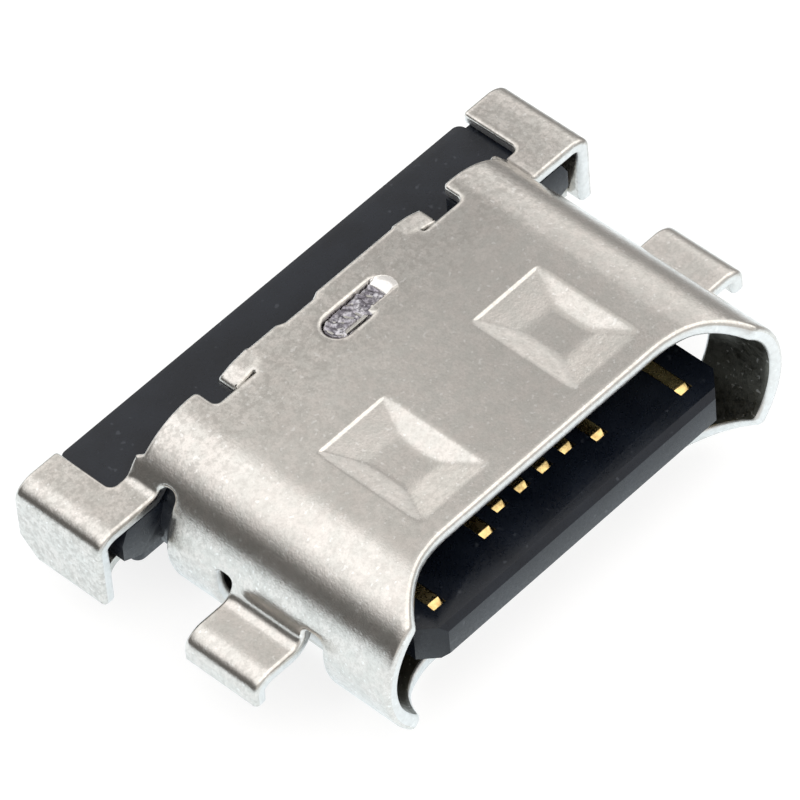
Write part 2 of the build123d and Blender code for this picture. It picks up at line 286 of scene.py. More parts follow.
resinLook = {
    "deep": (0.003, 0.005, 0.010),
    "bloom": (0.007, 0.010, 0.017),
    "speck": (0.10, 0.11, 0.13),
    "speckSpan": (0.70, 0.78),
    "speckShare": 0.3,
    "gloss": 1.45,
    "fibrePerMm": 18.0,
    "cloudPerMm": 1.6,
    "speckPerMm": 7.0,
    "smooth": 0.26,
    "rough": 0.40,
    "bumpMm": 0.003,
    "bumpStrength": 0.4,
}
resin = resinFinish("blackResin", resinLook)


def giltFinish(name, look):
    material, shader, surface = startMaterial(name)
    wear = shader.grain(look["wearPerMm"], detail=3.0, rough=0.6)
    dress(shader, surface, {
        "Base Color": shader.mix(wear.span(*look["dullSpan"]), look["bright"], look["dull"]),
        "Metallic": 1.0,
        "Roughness": wear.span(*noiseSpan, look["smooth"], look["rough"]),
        "Normal": shader.bump(wear, look["bumpMm"], look["bumpStrength"]),
    })
    return material


giltLook = {
    "bright": (0.84, 0.62, 0.27),
    "dull": (0.62, 0.42, 0.17),
    "dullSpan": (0.4, 0.75),
    "wearPerMm": 10.0,
    "smooth": 0.16,
    "rough": 0.30,
    "bumpMm": 0.004,
    "bumpStrength": 0.5,
}
# The strips take a darker copy of the pads' gold: painted shade inside the mouth
shadedGiltLook = dict(giltLook, bright=(0.74, 0.58, 0.28), dull=(0.55, 0.42, 0.20), smooth=0.22, rough=0.34)
gilt = giltFinish("goldFlash", giltLook)
shadedGilt = giltFinish("goldPaintedShade", shadedGiltLook)
print("finishes made")


def linkPiece(name, mesh, nodes=()):
    piece = addObject(name, mesh)
    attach(piece, "root")
    if nodes:
        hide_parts(*nodes)
    return piece


# The shell is one flat blank, cut to its outline and then bent. The blank's first
# coordinate runs round the outside of the tube from the middle of the top, and its
# second is Y. Depth goes inwards from the outer skin.
shell = {
    "front": -3.50,
    "rear": 1.92,
    "endCentre": 2.89,
    "radius": 1.53,
    "sheet": 0.25,
    "skinRound": 0.075,
    "burrRound": 0.085,
    "topLip": {"back": 0.68, "flat": 2.30, "wing": 3.84},
    "bottomLip": {"back": 0.92, "flat": 2.50, "wing": 3.92},
    "wingCorner": 0.18,
    "lipParts": 12,
    "lipSweep": 0.88,
    "legFace": 5.47,
    "easyBend": 0.50,
    "easyTurn": 38.0,
    "tightBend": 0.26,
    "ringStart": 42.0,
    "wallRear": 1.08,
    "reliefTop": 0.96,
    "reliefCorner": 0.14,
    "bottomShort": 0.30,
    "step": {"left": -1.00, "right": -0.10, "slope": 0.15, "deep": 0.07},
    "notch": {"inner": 1.87, "outer": 2.72, "long": 0.42, "corner": 0.10},
    "seamGap": 0.04,
    "seamKey": {"deep": 0.36, "flare": 0.09, "front": -1.72, "rear": -0.62},
    "topWeld": {"x": 0.10, "long": 1.46},
    "bottomWelds": {"x": 1.15, "long": 0.95},
    "weldWidth": 0.49,
    "weldFromRear": 0.735,
    "slotRound": 0.98,
    "levelFrom": (-0.08, 0.12),
    "levelWidth": (0.09, 0.17),
    "gridStep": 0.09,
    "rimStep": 0.055,
    "arcStep": 0.03,
    "rimRoom": 0.03,
}
leg = {"top": 0.0, "crease": 0.24, "tip": -0.55, "front": -1.765, "rear": -0.27, "room": 0.10}
window = {"front": -2.14, "rear": 0.07, "top": 0.32, "bottom": -1.36, "corner": 0.15}
ear = {
    "top": 0.79, "crease": 0.15, "tip": -0.66, "front": 1.40, "rear": 3.20, "inner": 4.51,
    "rootRear": 2.04, "chamfer": 0.36,
}
endCentre, tubeRadius = shell["endCentre"], shell["radius"]
tubeLength = 2 * endCentre + pi * tubeRadius
weldY = shell["rear"] - shell["weldFromRear"]

# Dimples slope from their rim to a flat floor, and have a crisp rear edge
dimple = {
    "x": 1.70,
    "y": -1.385,
    "halfX": 0.74,
    "halfY": 1.07,
    "floor": 0.35,
    "deep": 0.15,
    "insideDeep": 0.08,
    "ridgeSoft": 0.24,
    "rimSoft": 0.08,
    "floorSoft": 0.20,
    "crispDeep": 0.018,
    "crispWide": 0.045,
    "crispRidge": 0.12,
    "step": 0.038,
    "margin": 0.08,
    "rearRows": (-0.012, 0.004, 0.018, 0.032, 0.046, 0.060, 0.076),
    "rearBand": (-0.02, 0.09),
}

# A lock tab lies beside its notch. Rise, start, crease and looseSpan count from the notch's inner end
lockTab = {
    "width": 0.37,
    "slit": 0.05,
    "over": 0.03,
    "drop": 0.155,
    "rise": (-0.30, -0.24),
    "start": -0.28,
    "crease": 0.09,
    "creaseDrop": 0.055,
    "looseSpan": (-0.02, 0.10),
    "joinedReach": 0.16,
    "columns": 10,
    "columnSpan": (-2, 18),
}


def blankAt(height):
    # place on the blank of a height on the rounded end
    return endCentre + tubeRadius * acos(height / tubeRadius)


def blankAcross(x):
    # place on the blank of an X on the upper half
    if x <= endCentre:
        return x
    return endCentre + tubeRadius * asin((x - endCentre) / tubeRadius)


def bentStrip(top, crease, tip):
    # the outer skin of a leg or ear: leaves the tube, runs level and turns down, first in an easy bend
    centreZ = top + crease
    reach = sqrt((tubeRadius + crease) ** 2 - centreZ ** 2)
    leave = atan2(centreZ, reach)
    start = endCentre + tubeRadius * (pi / 2 - leave)
    centreX = endCentre + reach
    easy, tight, turn = shell["easyBend"], shell["tightBend"], radians(shell["easyTurn"])
    s, c = sin(turn), cos(turn)
    bendX = shell["legFace"] - easy * s - tight * (1 - s)
    tightX, tightZ = bendX + (easy - tight) * s, top - easy + (easy - tight) * c
    lengths = [
        crease * (pi / 2 - leave),
        bendX - centreX,
        easy * turn,
        tight * (pi / 2 - turn),
        tightZ - tip,
    ]

    def at(travel):
        if travel <= lengths[0]:
            angle = pi + leave + travel / crease
            c, s = cos(angle), sin(angle)
            return centreX + crease * c, centreZ + crease * s, -c, -s
        travel -= lengths[0]
        if travel <= lengths[1]:
            return centreX + travel, top, 0.0, 1.0
        travel -= lengths[1]
        if travel <= lengths[2]:
            s, c = sin(travel / easy), cos(travel / easy)
            return bendX + easy * s, top + easy * (c - 1), s, c
        travel -= lengths[2]
        if travel <= lengths[3]:
            angle = turn + travel / tight
            s, c = sin(angle), cos(angle)
            return tightX + tight * s, tightZ + tight * c, s, c
        travel -= lengths[3]
        return shell["legFace"], tightZ - travel, 1.0, 0.0

    return start, sum(lengths), centreX - lengths[0], at


earStart, earLength, earLevelBase, earAt = bentStrip(ear["top"], ear["crease"], ear["tip"])
legStart, legLength, _, legAt = bentStrip(leg["top"], leg["crease"], leg["tip"])
legBlankEnd = blankAt(window["bottom"]) - leg["room"]
legStretch = legLength / (legBlankEnd - legStart)


def tubeAt(travel):
    turn = (travel - endCentre) / tubeRadius
    if turn <= 0:
        return travel, tubeRadius, 0.0, 1.0
    if turn < pi:
        s, c = sin(turn), cos(turn)
        return endCentre + tubeRadius * s, tubeRadius * c, s, c
    return tubeLength - travel, -tubeRadius, 0.0, -1.0


def smoothLeast(a, b, soft):
    share = max(soft - abs(a - b), 0.0) / soft
    return min(a, b) - share * share * soft / 4


def ramp(low, high, value):
    return min(1.0, max(0.0, (value - low) / (high - low)))


def ease(low, high, value):
    share = ramp(low, high, value)
    return share * share * (3 - 2 * share)


def levelWeld(x, y):
    # how far the top weld hides its slot's edge, at a place counted from the slot's middle
    roundEnd = (shell["topWeld"]["long"] - shell["weldWidth"]) / 2
    inWidth = max(ease(*shell["levelWidth"], -y), ease(roundEnd, roundEnd + 0.1, x))
    return ease(*shell["levelFrom"], x) * inWidth


def tabFall(travel, y):
    # a lock tab slopes easily to its crease and then steeply, and its inner part stays joined in front
    notch, drop = shell["notch"], lockTab["creaseDrop"]
    start, crease, width = (lockTab[key] for key in ("start", "crease", "width"))
    fromSlit = y - (shell["rear"] - notch["long"] + lockTab["slit"] / 2)
    if travel > (notch["inner"] + notch["outer"]) / 2 or fromSlit <= 0:
        return 0.0
    t = travel - notch["inner"]
    fall = drop * ramp(start, crease, t) + (lockTab["drop"] - drop) * ramp(crease, width, t)
    loose = ease(*lockTab["looseSpan"], t)
    return fall * (loose + (1 - loose) * ease(0.0, lockTab["joinedReach"], fromSlit))


def pressed(travel, y, inner):
    # dimples and lock tabs, as depth below the flat skin
    across = travel if travel <= endCentre else tubeLength - travel
    u = (dimple["halfX"] - abs(across - dimple["x"])) / (dimple["halfX"] - dimple["floor"])
    v = (dimple["halfY"] - abs(y - dimple["y"])) / (dimple["halfY"] - dimple["floor"])
    rise = smoothLeast(u, v, dimple["ridgeSoft"])
    rise = smoothLeast(-smoothLeast(-rise, 0.0, dimple["rimSoft"]), 1.0, dimple["floorSoft"])
    rise = max(rise, 0.0)
    depth = rise * (dimple["insideDeep"] if inner else dimple["deep"])
    if y > dimple["y"] and u > 0 and not inner:
        crisp = dimple["crispDeep"] * ease(0.0, dimple["crispWide"], dimple["y"] + dimple["halfY"] - y)
        depth += crisp * (1 - rise) * min(1.0, max(u - v, 0.0) / dimple["crispRidge"])
    return depth + tabFall(travel, y)


def onEar(travel, y):
    return y > ear["front"] - 1e-6 and earStart <= travel < earStart + earLength + 0.01


def onLeg(travel, y):
    return leg["front"] - 1e-6 < y < leg["rear"] + 1e-6 and legStart <= travel < legBlankEnd + 1e-6


def placeOnShell(travel, y, depth, inner=False):
    side = -1.0 if travel < 0 else 1.0
    travel = abs(travel)
    if onEar(travel, y):
        x, z, nx, nz = earAt(travel - earStart)
    elif onLeg(travel, y):
        x, z, nx, nz = legAt((travel - legStart) * legStretch)
    else:
        x, z, nx, nz = tubeAt(travel)
        depth += pressed(travel, y, inner)
    return Vector((side * (x - nx * depth), y, middle + z - nz * depth)) * mm


def roundCorners(corners, step):
    # corners are (first, second, radius); the loop comes back with arcs and short runs
    points = []
    for index, (a, b, radius) in enumerate(corners):
        here = Vector((a, b))
        before = Vector(corners[index - 1][:2]) - here
        after = Vector(corners[(index + 1) % len(corners)][:2]) - here
        if radius <= 0 or before.length < 1e-6 or after.length < 1e-6:
            points.append(here)
            continue
        half = before.angle(after) / 2
        reach = min(radius / tan(half), 0.49 * before.length, 0.49 * after.length)
        radius = reach * tan(half)
        before.normalize()
        after.normalize()
        centre = here + (before + after).normalized() * (radius / sin(half))
        first = here + before * reach - centre
        last = here + after * reach - centre
        start = atan2(first.y, first.x)
        sweep = (atan2(last.y, last.x) - start + pi) % (2 * pi) - pi
        pieces = max(2, ceil(abs(sweep) * radius / shell["arcStep"]))
        for k in range(pieces + 1):
            angle = start + sweep * k / pieces
            points.append(centre + radius * Vector((cos(angle), sin(angle))))
    loop = []
    for index, point in enumerate(points):
        after = points[(index + 1) % len(points)]
        parts = max(1, ceil((after - point).length / step))
        loop += [point.lerp(after, k / parts) for k in range(parts)]
    return [p for i, p in enumerate(loop) if (p - loop[i - 1]).length > 1e-4]


def windsLeft(loop):
    return sum(a.x * b.y - b.x * a.y for a, b in zip(loop, loop[1:] + loop[:1])) > 0


def insetLoop(loop, distance):
    inset = []
    for index, here in enumerate(loop):
        ahead = (loop[(index + 1) % len(loop)] - here).normalized()
        behind = (here - loop[index - 1]).normalized()
        left = Vector((-ahead.y - behind.y, ahead.x + behind.x))
        left.normalize()
        grow = 1 / max(0.6, left.dot(Vector((-ahead.y, ahead.x))))
        inset.append(here + left * distance * grow)
    return inset


def insideLoop(points, loop):
    ax, ay = loop[:, 0], loop[:, 1]
    bx, by = np.roll(ax, -1), np.roll(ay, -1)
    inside = np.zeros(len(points), bool)
    for batch in np.array_split(np.arange(len(points)), 1 + len(points) // 2000):
        px, py = points[batch, 0:1], points[batch, 1:2]
        crosses = (ay > py) != (by > py)
        reach = (bx - ax) * (py - ay) / np.where(by == ay, 1e-9, by - ay) + ax
        inside[batch] = (crosses & (px < reach)).sum(axis=1) % 2 == 1
    return inside


def lipCorners(lip, lower):
    # from the middle of the lip to the wing, as corners on the blank
    drop, run = lip["back"], lip["wing"] - lip["flat"]
    radius = (run * run + drop * drop) / (2 * drop)
    parts, sweep = shell["lipParts"], shell["lipSweep"] * asin(run / radius)
    corners = [(0.0, shell["front"] + drop, 0.0)]
    for k in range(parts + 1):
        angle = sweep * k / parts
        x = lip["flat"] + radius * sin(angle)
        corners.append((blankAcross(x), shell["front"] + drop - radius * (1 - cos(angle)), 0.0))
    corners.append((blankAcross(lip["wing"]), shell["front"], shell["wingCorner"]))
    if lower:
        corners = [(tubeLength - s, y, r) for s, y, r in corners]
    return corners


def sideCorners(side):
    # half of the blank's outline, from the middle of the rear edge round to the lip
    rear, endBottom = shell["rear"], tubeLength - endCentre
    step, notch, key = shell["step"], shell["notch"], shell["seamKey"]
    stepX = step["right"] if side > 0 else -step["left"]
    notchIn, notchFront = notch["inner"], rear - notch["long"]
    tabEnd, tabRear = notchIn + lockTab["width"], rear + lockTab["over"]
    tabFront = notchFront + lockTab["slit"]
    seam = tubeLength - shell["seamGap"] / 2
    keyed = seam + (-key["deep"] if side > 0 else key["deep"])
    ringStart = [endCentre + tubeRadius * radians(shell["ringStart"] + more) for more in (0, 3)]
    earInner = earStart + (ear["inner"] - earLevelBase)
    tip = earStart + earLength
    relief = blankAt(shell["reliefTop"])
    lower = lipCorners(shell["bottomLip"], True)
    lower[0] = (seam, lower[0][1], 0.03)
    corners = [
        (stepX - step["slope"], rear - step["deep"], 0.06),
        (stepX, rear, 0.06),
        (notchIn + lockTab["rise"][0], rear, 0.05),
        (notchIn + lockTab["rise"][1], tabRear, 0.04),
        (tabEnd, tabRear, 0.05),
        (tabEnd, tabFront, 0.04),
        (notchIn, tabFront, 0.02),
        (notchIn, notchFront, 0.02),
        (notch["outer"], notchFront, notch["corner"]),
        (notch["outer"], rear, 0.10),
        (ringStart[0], rear, 0.03),
        (ringStart[1], ear["rootRear"], 0.03),
        (earInner, ear["rootRear"], 0.12),
        (earInner, ear["rear"], 0.07),
        (tip - ear["chamfer"], ear["rear"], 0.08),
        (tip, ear["rear"] - ear["chamfer"], 0.08),
        (tip, ear["front"], 0.06),
        (relief, ear["front"], shell["reliefCorner"]),
        (relief, shell["wallRear"], shell["reliefCorner"]),
        (endBottom, shell["wallRear"], 0.20),
        (endBottom, rear - shell["bottomShort"], 0.12),
        (seam, rear - shell["bottomShort"], 0.03),
        (seam, key["rear"], 0.02),
        (keyed, key["rear"] + key["flare"], 0.05),
        (keyed, key["front"] - key["flare"], 0.05),
        (seam, key["front"], 0.02),
    ]
    corners += lower
    corners += lipCorners(shell["topLip"], False)[::-1][:-1]
    return [(side * s, y, r) for s, y, r in corners]


def slotCorners(centre, length):
    half, end = shell["weldWidth"] / 2, length / 2
    sides = ((-1, -1), (1, -1), (1, 1), (-1, 1))
    return [(centre + a * end, weldY + b * half, half * shell["slotRound"]) for a, b in sides]


def windowCorners(side):
    # U-shaped cut: the leg is the tongue of metal that it leaves
    top, bottom = blankAt(window["top"]), blankAt(window["bottom"])
    corner = window["corner"]
    corners = [
        (top, window["front"], corner),
        (top, leg["front"], 0.08),
        (legBlankEnd, leg["front"], 0.06),
        (legBlankEnd, leg["rear"], 0.06),
        (top, leg["rear"], 0.08),
        (top, window["rear"], corner),
        (bottom, window["rear"], corner),
        (bottom, window["front"], corner),
    ]
    return [(side * s, y, r) for s, y, r in corners]


def blankLoops():
    # the outline and its cuts, with the metal always on their left
    bottom = shell["bottomWelds"]
    loops = []
    for corners in (
        sideCorners(1) + sideCorners(-1)[::-1],
        windowCorners(1),
        windowCorners(-1),
        slotCorners(shell["topWeld"]["x"], shell["topWeld"]["long"]),
        slotCorners(tubeLength - bottom["x"], bottom["long"]),
        slotCorners(bottom["x"] - tubeLength, bottom["long"]),
    ):
        loop = roundCorners(corners, shell["rimStep"])
        if windsLeft(loop) == bool(loops):
            loop.reverse()
        loops.append(loop)
    return loops


def onBlank(points, rims):
    inside = insideLoop(points, rims[0])
    for rim in rims[1:]:
        inside &= ~insideLoop(points, rim)
    return inside


def blankGrid(rims):
    # points of the blank inside its rims, close together on the dimples and lock tabs
    halfX, halfY, margin, step = (dimple[key] for key in ("halfX", "halfY", "margin", "step"))
    reach = tubeLength + shell["seamKey"]["deep"] + 0.1
    points = [
        (a, b)
        for a in np.arange(-reach, reach, shell["gridStep"])
        for b in np.arange(shell["front"], ear["rear"], shell["gridStep"])
        if abs(b - dimple["y"]) > halfY + 0.1
        or min(abs(abs(a) - dimple["x"]), abs(abs(a) - tubeLength + dimple["x"])) > halfX + 0.1
    ]
    frontEdge, rearEdge = dimple["y"] - halfY, dimple["y"] + halfY
    low, high = dimple["rearBand"]
    for centre in (dimple["x"], -dimple["x"], tubeLength - dimple["x"], dimple["x"] - tubeLength):
        for a in np.arange(centre - halfX - margin, centre + halfX + margin, step):
            for b in np.arange(frontEdge - margin, rearEdge + margin, step):
                if not low < rearEdge - b < high:
                    points.append((a, b))
            points += [(a, rearEdge - behind) for behind in dimple["rearRows"]]
    tabStep = (lockTab["crease"] - lockTab["start"]) / lockTab["columns"]
    for column in range(*lockTab["columnSpan"]):
        a = shell["notch"]["inner"] + lockTab["start"] + tabStep * column
        for b in np.arange(shell["rear"] - shell["notch"]["long"], shell["rear"], tabStep):
            points += [(a, b), (-a, b)]
    points = np.array(points)
    tree = KDTree(sum(len(rim) for rim in rims))
    for rim in rims:
        for a, b in rim:
            tree.insert((a, b, 0), 0)
    tree.balance()
    return [p for p in points[onBlank(points, rims)] if tree.find((*p, 0))[2] > shell["rimRoom"]]


def cutBlank(rims):
    # the blank's triangles and their middles, and where each rim point went
    flat, edges = [], []
    for rim in rims:
        base = len(flat)
        flat += [Vector((a, b)) for a, b in rim]
        edges += [(base + k, base + (k + 1) % len(rim)) for k in range(len(rim))]
    flat += [Vector((a, b)) for a, b in blankGrid(rims)]
    points, _, faces, sources, _, _ = delaunay_2d_cdt(flat, edges, [], 0, 1e-7)
    middles = np.array([tuple(sum((points[i] for i in f), Vector((0, 0))) / 3) for f in faces])
    keep = onBlank(middles, rims)
    faces = [tuple(f) for f, wanted in zip(faces, keep) if wanted]
    return points, faces, middles[keep], {old: made for made, olds in enumerate(sources) for old in olds}


def buildShell():
    loops = blankLoops()
    topSlot = loops[3]
    insets = [insetLoop(loop, shell["skinRound"]) for loop in loops]
    points, skin, middles, madeFrom = cutBlank([np.array([tuple(p) for p in loop]) for loop in insets])
    sheet, count = shell["sheet"], len(points)
    verts = [placeOnShell(p.x, p.y, 0.0) for p in points]
    verts += [placeOnShell(p.x, p.y, sheet, True) for p in points]
    faces = skin + [tuple(count + i for i in reversed(f)) for f in skin]
    # inner faces of the tube take the painted shade copy of the nickel; ears and legs keep the nickel
    finishes = [0] * len(skin) + [0 if onEar(abs(a), b) or onLeg(abs(a), b) else 2 for a, b in middles]
    turns = [radians(v) for v in (30, 60, 90)]
    rows = [(sin(v), shell["skinRound"] * (1 - cos(v))) for v in turns]
    rows += [(sin(v), sheet - shell["burrRound"] * (1 - cos(v))) for v in reversed(turns)]
    base = 0
    for loop, inset in zip(loops, insets):
        size = len(loop)
        rings = [[madeFrom[base + k] for k in range(size)]]
        for share, depth in rows:
            rings.append(range(len(verts), len(verts) + size))
            for p, q in zip(loop, inset):
                at = q.lerp(p, share)
                down = depth
                if loop is topSlot and depth < sheet / 2:
                    down *= 1 - levelWeld(p.x - shell["topWeld"]["x"], p.y - weldY)
                verts.append(placeOnShell(at.x, at.y, down, depth > sheet / 2))
        rings.append([count + i for i in rings[0]])
        depths = [depth for _, depth in rows] + [sheet]
        for upper, lower, depth in zip(rings, rings[1:], depths):
            for k in range(size):
                n = (k + 1) % size
                faces.append((upper[k], lower[k], lower[n], upper[n]))
                finishes.append(1 if depth > shell["skinRound"] else 0)
        base += size
    mesh = bpy.data.meshes.new("shellSkin")
    mesh.from_pydata([tuple(v) for v in verts], [], faces)
    for material in (nickel, nickelEdge, nickelInsideShade):
        mesh.materials.append(material)
    mesh.polygons.foreach_set("use_smooth", [True] * len(faces))
    mesh.polygons.foreach_set("material_index", finishes)
    mesh.validate()
    print("shell faces", len(mesh.polygons))
    linkPiece("stampedShell", mesh, ["shell"])


buildShell()
print("shell bent")


# Moulding, plate and collars are merged copies of the CAD nodes with their edges broken
softEdges = {"segments": 2, "sharp": 30.0, "flat": 0.6, "merge": 0.0002}
softPieces = {
    "housing": ("mouldedHousing", resin, "black_resin", 0.03),
    "upper_terminal_block": ("upperInsert", resin, "black_resin", 0.02),
    "lower_terminal_block": ("lowerInsert", resin, "black_resin", 0.02),
    "mid_plate": ("midPlateSheet", plainSteel, "plain_steel", 0.02),
    "upper_ground_collar": ("upperCollar", plainSteel, "plain_steel", 0.02),
    "lower_ground_collar": ("lowerCollar", plainSteel, "plain_steel", 0.02),
}


def softCopy(node, name, material, width, edges):
    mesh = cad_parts[node].data.copy()
    mesh.name = name
    work = bmesh.new()
    work.from_mesh(mesh)
    bmesh.ops.remove_doubles(work, verts=work.verts, dist=edges["merge"] * mm)
    flat = radians(edges["flat"])
    bmesh.ops.dissolve_limit(work, angle_limit=flat, verts=work.verts, edges=work.edges)
    work.to_mesh(mesh)
    work.free()
    mesh.materials.clear()
    mesh.materials.append(material)
    for face in mesh.polygons:
        face.use_smooth = True
    piece = linkPiece(name, mesh, [node])
    bevel = piece.modifiers.new("brokenEdges", "BEVEL")
    bevel.width = width * mm
    bevel.segments = edges["segments"]
    bevel.limit_method = "ANGLE"
    bevel.angle_limit = radians(edges["sharp"])
    bevel.use_clamp_overlap = True
    bevel.harden_normals = True


for node, (name, material, slotName, width) in softPieces.items():
    softCopy(node, name, material, width, softEdges)
print("moulding and plates softened")


# Contacts: bent strips swept along their routes by Geometry Nodes, one mesh for each row
contactSizes = {
    "places": (2.75, 1.25, 0.75, 0.25),
    "tipBacks": (0.48, 0.845, 1.045, 1.045),
    "upperTails": (3.35, 2.55, 1.25, 0.25),
    "lowerTails": (3.05, 2.25, 1.75, 0.75),
    "width": 0.25,
    "thick": 0.12,
    "edgeRound": 0.02,
    "bendRound": 0.05,
    "tailSqueeze": 0.20,
    "level": 0.29,
    "tipShort": 0.035,
    "padLong": 0.125,
    "padDrop": 0.075,
    "padStep": 0.004,
    "padFrom": 0.6,
    "roundSteps": 3,
    "jogStart": 1.62,
    "jogEnd": 2.42,
    "riser": 2.48,
    "tailLevel": -0.21,
    "tailEnd": 3.50,
}


def contactRoutes(row, sizes, up):
    # one open chain of points for each contact, with its lane, narrowing and tip pad
    verts, edges, lane, narrow, pad = [], [], [], [], []
    for side in (-1, 1):
        for place, back, tail in zip(sizes["places"], sizes["tipBacks"], sizes[row + "Tails"]):
            tip = shell["front"] + back + sizes["tipShort"]
            level, tailLevel = up * sizes["level"], sizes["tailLevel"]
            dropped = level - up * sizes["padDrop"]
            padEnd = tip + sizes["padLong"]
            chain = [
                (place, tip, dropped, 0.0, 1.0),
                (place, padEnd, level, 0.0, 1.0),
                (place, padEnd + sizes["padStep"], level, 0.0, 0.0),
                (place, sizes["jogStart"], level, 0.0, 0.0),
                (tail, sizes["jogEnd"], level, 1.0, 0.0),
                (tail, sizes["riser"], level, 1.0, 0.0),
                (tail, sizes["riser"], tailLevel, 1.0, 0.0),
                (tail, sizes["tailEnd"], tailLevel, 1.0, 0.0),
            ]
            first = len(verts)
            for x, y, z, thin, bright in chain:
                verts.append((side * x * mm, y * mm, (middle + z) * mm))
                lane.append(side * x * mm)
                narrow.append(thin)
                pad.append(bright)
            edges += [(k, k + 1) for k in range(first, len(verts) - 1)]
    mesh = bpy.data.meshes.new(row + "Routes")
    mesh.from_pydata(verts, edges, [])
    for key, values in (("lane", lane), ("narrow", narrow), ("pad", pad)):
        mesh.attributes.new(key, "FLOAT", "POINT").data.foreach_set("value", values)
    return mesh


def contactTree(sizes):
    tree = bpy.data.node_groups.new("sweptContacts", "GeometryNodeTree")
    for way, kind, labels in (
        ("INPUT", "NodeSocketGeometry", ("Routes",)),
        ("INPUT", "NodeSocketFloat", ("Width", "Thickness", "Edge Round", "Bend Round", "Tail Squeeze")),
        ("INPUT", "NodeSocketMaterial", ("Strip Shaded Gold", "Pad Finish")),
        ("OUTPUT", "NodeSocketGeometry", ("Contacts",)),
    ):
        for label in labels:
            tree.interface.new_socket(name=label, in_out=way, socket_type=kind)
    given = tree.nodes.new("NodeGroupInput")
    made = tree.nodes.new("NodeGroupOutput")

    def node(kind, settings=None, inputs=None):
        item = tree.nodes.new(kind)
        for key, value in (settings or {}).items():
            setattr(item, key, value)
        for key, value in (inputs or {}).items():
            # a node given as an input stands for its first output
            value = value.outputs[0] if isinstance(value, bpy.types.Node) else value
            if isinstance(value, bpy.types.NodeSocket):
                tree.links.new(value, item.inputs[key])
            else:
                item.inputs[key].default_value = value
        return item

    def field(key):
        item = node("GeometryNodeInputNamedAttribute", {"data_type": "FLOAT"}, {"Name": key})
        return item.outputs["Attribute"]

    def sums(operation, first, second):
        return node("ShaderNodeMath", {"operation": operation}, {0: first, 1: second})

    profile = node("GeometryNodeCurvePrimitiveQuadrilateral", None, {
        "Width": given.outputs["Width"], "Height": given.outputs["Thickness"],
    })
    rounded = node("GeometryNodeFilletCurve", {"mode": "POLY"}, {
        "Curve": profile, "Radius": given.outputs["Edge Round"], "Limit Radius": True,
        "Count": sizes["roundSteps"],
    })
    route = node("GeometryNodeMeshToCurve", None, {"Mesh": given.outputs["Routes"]})
    bent = node("GeometryNodeFilletCurve", {"mode": "POLY"}, {
        "Curve": route, "Radius": given.outputs["Bend Round"], "Limit Radius": True,
        "Count": sizes["roundSteps"],
    })
    swept = node("GeometryNodeCurveToMesh", None, {
        "Curve": bent, "Profile Curve": rounded, "Fill Caps": True,
    })
    place = node("ShaderNodeSeparateXYZ", None, {0: node("GeometryNodeInputPosition")})
    offLane = sums("SUBTRACT", field("lane"), place)
    share = sums("MULTIPLY", field("narrow"), given.outputs["Tail Squeeze"])
    shift = node("ShaderNodeCombineXYZ", None, {"X": sums("MULTIPLY", offLane, share)})
    squeezed = node("GeometryNodeSetPosition", None, {"Geometry": swept, "Offset": shift})
    real = node("GeometryNodeRealizeInstances", None, {"Geometry": squeezed})
    strip = node("GeometryNodeSetMaterial", None, {
        "Geometry": real, "Material": given.outputs["Strip Shaded Gold"],
    })
    onPad = node("FunctionNodeCompare", {"data_type": "FLOAT", "operation": "GREATER_THAN"}, {
        0: field("pad"), 1: sizes["padFrom"],
    })
    finished = node("GeometryNodeSetMaterial", None, {
        "Geometry": strip, "Selection": onPad, "Material": given.outputs["Pad Finish"],
    })
    tree.links.new(finished.outputs["Geometry"], made.inputs["Contacts"])
    return tree


def sweepContacts(row, tree, sizes, up):
    source = addObject(row + "Routes", contactRoutes(row, sizes, up))
    modifier = source.modifiers.new("sweep", "NODES")
    modifier.node_group = tree
    values = {
        "Width": sizes["width"] * mm,
        "Thickness": sizes["thick"] * mm,
        "Edge Round": sizes["edgeRound"] * mm,
        "Bend Round": sizes["bendRound"] * mm,
        "Tail Squeeze": sizes["tailSqueeze"],
        # the strips' darker gold is painted shade
        "Strip Shaded Gold": shadedGilt,
        "Pad Finish": gilt,
    }
    for item in tree.interface.items_tree:
        if item.in_out == "INPUT" and item.name in values:
            modifier[item.identifier] = values[item.name]
    bpy.context.view_layer.update()
    ready = source.evaluated_get(bpy.context.evaluated_depsgraph_get())
    mesh = bpy.data.meshes.new_from_object(ready)
    mesh.name = row + "Contacts"
    bpy.data.objects.remove(source)
    print(row, "contacts", len(mesh.polygons))
    linkPiece(row + "Contacts", mesh, [f"{row}_contact_{n}" for n in range(1, 9)])


sweep = contactTree(contactSizes)
sweepContacts("upper", sweep, contactSizes, 1)
sweepContacts("lower", sweep, contactSizes, -1)
print("contacts swept")


# Weld beads fill the slots down to the collars' pads. A bead is lumpy, leaves a gap along one
# wall, runs out level with the sheet at the front right and ends in a smooth ramp, whose paler colour is a
# painted highlight
beadSizes = {
    "gap": 0.004,
    "across": 160,
    "along": 48,
    "depth": 0.045,
    "lump": 0.040,
    "lumpPerMm": 7.0,
    "fineShare": 0.35,
    "finePerMm": 19.0,
    "sway": 0.06,
    "swayPerMm": 5.0,
    "ripple": 0.010,
    "ripplePitch": 0.135,
    "rippleSlant": 0.4,
    "wallDrop": 0.08,
    "wallReach": 0.04,
    "gapDrop": 0.12,
    "gapReach": 0.12,
    "gapCurve": 0.7,
    "gapRise": (-0.62, -0.42),
    "gapFall": (-0.10, 0.05),
    "levelFrom": shell["levelFrom"],
    "levelWidth": shell["levelWidth"],
    "spill": 0.074,
    "spillRise": (0.05, 0.15),
    "rampStart": 0.43,
    "rampDeep": 0.11,
    "rampEase": 0.22,
    "rampCurve": 1.3,
    "rampBright": 0.04,
    "top": 0.0008,
    "bottom": 0.25,
    "least": 0.02,
}


def beadLevel(x, y, sizes):
    # how far the bead has run out level with the sheet, along its front edge
    return ease(*sizes["levelFrom"], x) * ease(*sizes["levelWidth"], -y)


